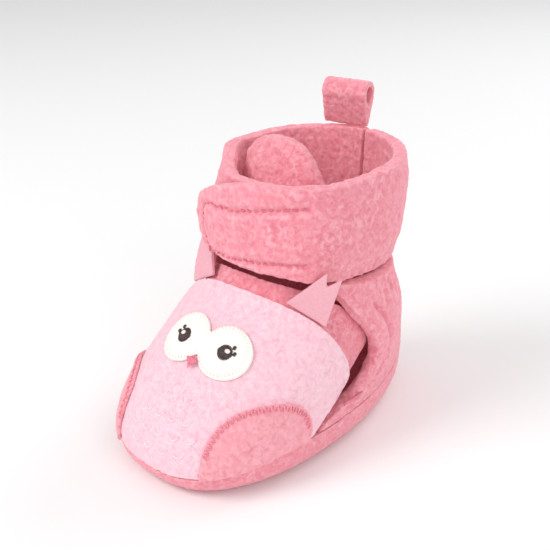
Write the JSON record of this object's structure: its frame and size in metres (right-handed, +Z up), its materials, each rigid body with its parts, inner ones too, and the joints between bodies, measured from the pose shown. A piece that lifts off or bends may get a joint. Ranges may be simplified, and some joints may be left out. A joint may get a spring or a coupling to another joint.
{
  "type": "baby bootie",
  "caption": "Soft fleece baby bootie for a right foot with an owl face on the toe, a wrap-over ankle cuff with touch tape, a tongue and a heel pull tab.",
  "frame": {"origin": "on the ground under the sole, at the bottom of the middle grip dot, on the bootie's centre line", "axes": "+Z up, -Y towards the toe, +Y towards the heel, +X towards the medial side of this right foot's bootie"},
  "size_m": [0.0738, 0.1185, 0.1105],
  "materials": {
    "pink_fleece": "napped fleece",
    "pink_lining_fleece": "napped fleece",
    "light_pink_fleece": "napped fleece",
    "wing_fleece": "napped fleece",
    "ear_felt": "smooth felt",
    "white_felt": "smooth felt",
    "pink_thread": "glossy thread",
    "wing_thread": "glossy thread",
    "white_thread": "glossy thread",
    "dark_thread": "glossy thread",
    "beak_thread": "glossy thread",
    "sole_foam": "soft batting",
    "grip_silicone": "matte silicone",
    "hook_tape": "matte hooks",
    "loop_tape": "brushed loops",
    "white_elastic": "woven elastic"
  },
  "bodies": {
    "foot": {"outsole": "pink_fleece", "sole_grip_dots": "grip_silicone", "sole_padding": "sole_foam", "insole": "pink_lining_fleece", "vamp_outer": "light_pink_fleece", "vamp_lining": "pink_lining_fleece", "medial_wing": "wing_fleece", "lateral_wing": "wing_fleece", "medial_wing_stitching": "wing_thread", "lateral_wing_stitching": "wing_thread", "eye_patch": "white_felt", "eye_patch_stitching": "white_thread", "pupils": "dark_thread", "eye_glints": "white_thread", "eyelashes": "dark_thread", "beak": "beak_thread", "medial_quarter_outer": "pink_fleece", "lateral_quarter_outer": "pink_fleece", "medial_quarter_lining": "pink_lining_fleece", "lateral_quarter_lining": "pink_lining_fleece", "ankle_elastic": "white_elastic", "slit_bartacks": "pink_thread", "medial_cuff_outer": "pink_fleece", "lateral_cuff_outer": "pink_fleece", "medial_cuff_lining": "pink_lining_fleece", "lateral_cuff_lining": "pink_lining_fleece"},
    "over_flap": {"over_flap_outer": "pink_fleece", "over_flap_lining": "pink_lining_fleece", "hook_patch": "hook_tape", "flap_topstitch": "pink_thread"},
    "under_flap": {"under_flap_outer": "pink_fleece", "under_flap_lining": "pink_lining_fleece", "loop_patch": "loop_tape"},
    "tongue": {"tongue_outer": "pink_fleece", "tongue_lining": "pink_lining_fleece"},
    "pull_tab": {"pull_tab": "pink_fleece"},
    "medial_ear": {"medial_ear": "ear_felt"},
    "lateral_ear": {"lateral_ear": "ear_felt"}
  },
  "joints": [
    {"name": "over_flap_opening", "type": "hinge", "parent": "foot", "child": "over_flap", "pos_m": [0.0313, 0.01, 0.076], "axis": [0, 0, 1], "range_deg": [0, 140], "deforming": ["medial_ear", "lateral_ear"]},
    {"name": "under_flap_opening", "type": "hinge", "parent": "foot", "child": "under_flap", "pos_m": [-0.0313, 0.01, 0.076], "axis": [0, 0, -1], "range_deg": [0, 70]},
    {"name": "tongue_tilt", "type": "hinge", "parent": "foot", "child": "tongue", "pos_m": [0, -0.0138, 0.0591], "axis": [1, 0, 0], "range_deg": [0, 56]},
    {"name": "pull_tab_bend", "type": "hinge", "parent": "foot", "child": "pull_tab", "pos_m": [-0.00856, 0.03826, 0.09643], "axis": [-0.968, -0.2508, 0], "range_deg": [-40, 75]},
    {"name": "medial_ear_fold", "type": "hinge", "parent": "foot", "child": "medial_ear", "pos_m": [0.0238, -0.01628, 0.05097], "axis": [0.7029, 0.4882, -0.5173], "range_deg": [0, 30]},
    {"name": "lateral_ear_fold", "type": "hinge", "parent": "foot", "child": "lateral_ear", "pos_m": [-0.02046, -0.02075, 0.05099], "axis": [0.8092, -0.2966, 0.5072], "range_deg": [0, 30]}
  ],
  "couplings": [
    {"joint": "under_flap_opening", "follows": "over_flap_opening", "ratio": 0.5},
    {"joint": "tongue_tilt", "follows": "over_flap_opening", "ratio": 0.4}
  ]
}
